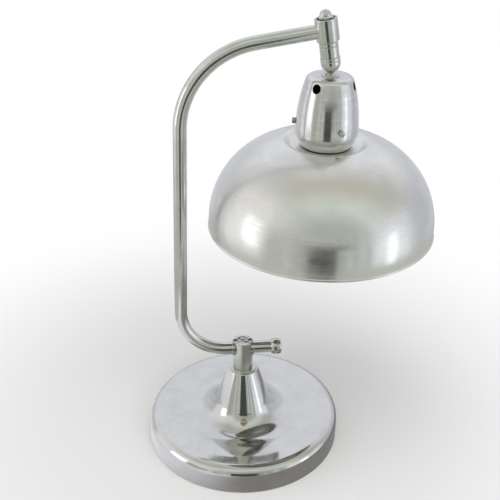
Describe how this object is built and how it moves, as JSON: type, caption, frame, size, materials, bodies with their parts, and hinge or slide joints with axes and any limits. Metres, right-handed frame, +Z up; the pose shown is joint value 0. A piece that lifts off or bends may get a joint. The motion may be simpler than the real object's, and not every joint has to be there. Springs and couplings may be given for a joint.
{
  "type": "jewellers lamp",
  "caption": "Chromed bench lamp with a weighted base, swivel post, bent sliding arm, push switch and a domed shade on a swivel and ball joint.",
  "frame": {"origin": "on the table under the middle of the round base", "axes": "+Z up, +X from the post towards the shade in the arm's plane, +Y away from the picture's viewer"},
  "size_m": [0.269, 0.2046, 0.4276],
  "materials": {
    "chrome": "polished nickel chrome",
    "cast_iron": "raw casting",
    "steel": "turned",
    "brass": "turned, lightly tarnished",
    "aluminium": "spun and polished",
    "felt": "felt",
    "rubber": "matt",
    "plastic": "moulded",
    "ceramic": "unglazed",
    "glass": "frosted"
  },
  "bodies": {
    "base_unit": {"base_shell": "chrome", "base_weight": "cast_iron", "base_plate": "steel", "plate_screws": "steel", "felt_pad": "felt", "post_bearing": "brass", "bearing_nut": "brass", "cord_grommet": "rubber", "switch_bush": "chrome", "switch_body": "plastic"},
    "button_unit": {"switch_button": "chrome", "switch_contact": "brass"},
    "post_unit": {"post": "chrome", "post_washer": "steel", "post_nut": "steel", "clamp_screw": "steel"},
    "sleeve_unit": {"arm_sleeve": "brass", "sleeve_ring": "brass"},
    "arm_unit": {"arm_tube": "chrome", "arm_end_cap": "chrome", "end_cap_screw": "steel", "knuckle": "chrome", "knuckle_washer": "brass"},
    "swivel_unit": {"swivel_housing": "chrome", "swivel_bolt": "steel", "acorn_nut": "chrome", "ball_cup": "chrome", "ball_pad": "plastic", "pad_spring": "steel"},
    "ball_unit": {"ball": "steel"},
    "shade_unit": {"stem": "chrome", "stem_washer": "chrome", "stem_nut": "chrome", "cover": "chrome", "cover_nut": "steel", "cover_screws": "steel", "shade": "aluminium", "holder_cap": "brass", "holder_nuts": "steel", "holder_body": "brass", "holder_insulator": "ceramic", "holder_shell": "brass", "holder_contact": "brass", "bulb_cap": "brass", "bulb_glass": "glass"}
  },
  "joints": [
    {"name": "post_swivel", "type": "hinge", "parent": "base_unit", "child": "post_unit", "pos_m": [0, 0, 0.03], "axis": [0, 0, 1], "range_deg": [-165, 165]},
    {"name": "arm_roll", "type": "hinge", "parent": "post_unit", "child": "sleeve_unit", "pos_m": [0, 0, 0.0997], "axis": [1, 0, 0], "range_deg": [-20, 20]},
    {"name": "arm_slide", "type": "slide", "parent": "sleeve_unit", "child": "arm_unit", "axis": [1, 0, 0], "range_m": [-0.017, 0.0055]},
    {"name": "knuckle_swivel", "type": "hinge", "parent": "arm_unit", "child": "swivel_unit", "pos_m": [0.06968, 0, 0.41063], "axis": [-0.1547, 0, 0.988], "range_deg": [-170, 170]},
    {"name": "shade_tilt", "type": "hinge", "parent": "swivel_unit", "child": "ball_unit", "pos_m": [0.07429, 0, 0.38118], "axis": [0, 1, 0], "range_deg": [-24, 5]},
    {"name": "shade_spin", "type": "hinge", "parent": "ball_unit", "child": "shade_unit", "pos_m": [0.07429, 0, 0.38118], "axis": [0.0209, 0, 0.9998], "range_deg": [-170, 170]},
    {"name": "button_press", "type": "slide", "parent": "base_unit", "child": "button_unit", "axis": [0.0439, 0.7396, -0.6716], "range_m": [0, 0.0015], "stiffness_N_per_m": 400, "springref_m": -0.0015}
  ]
}
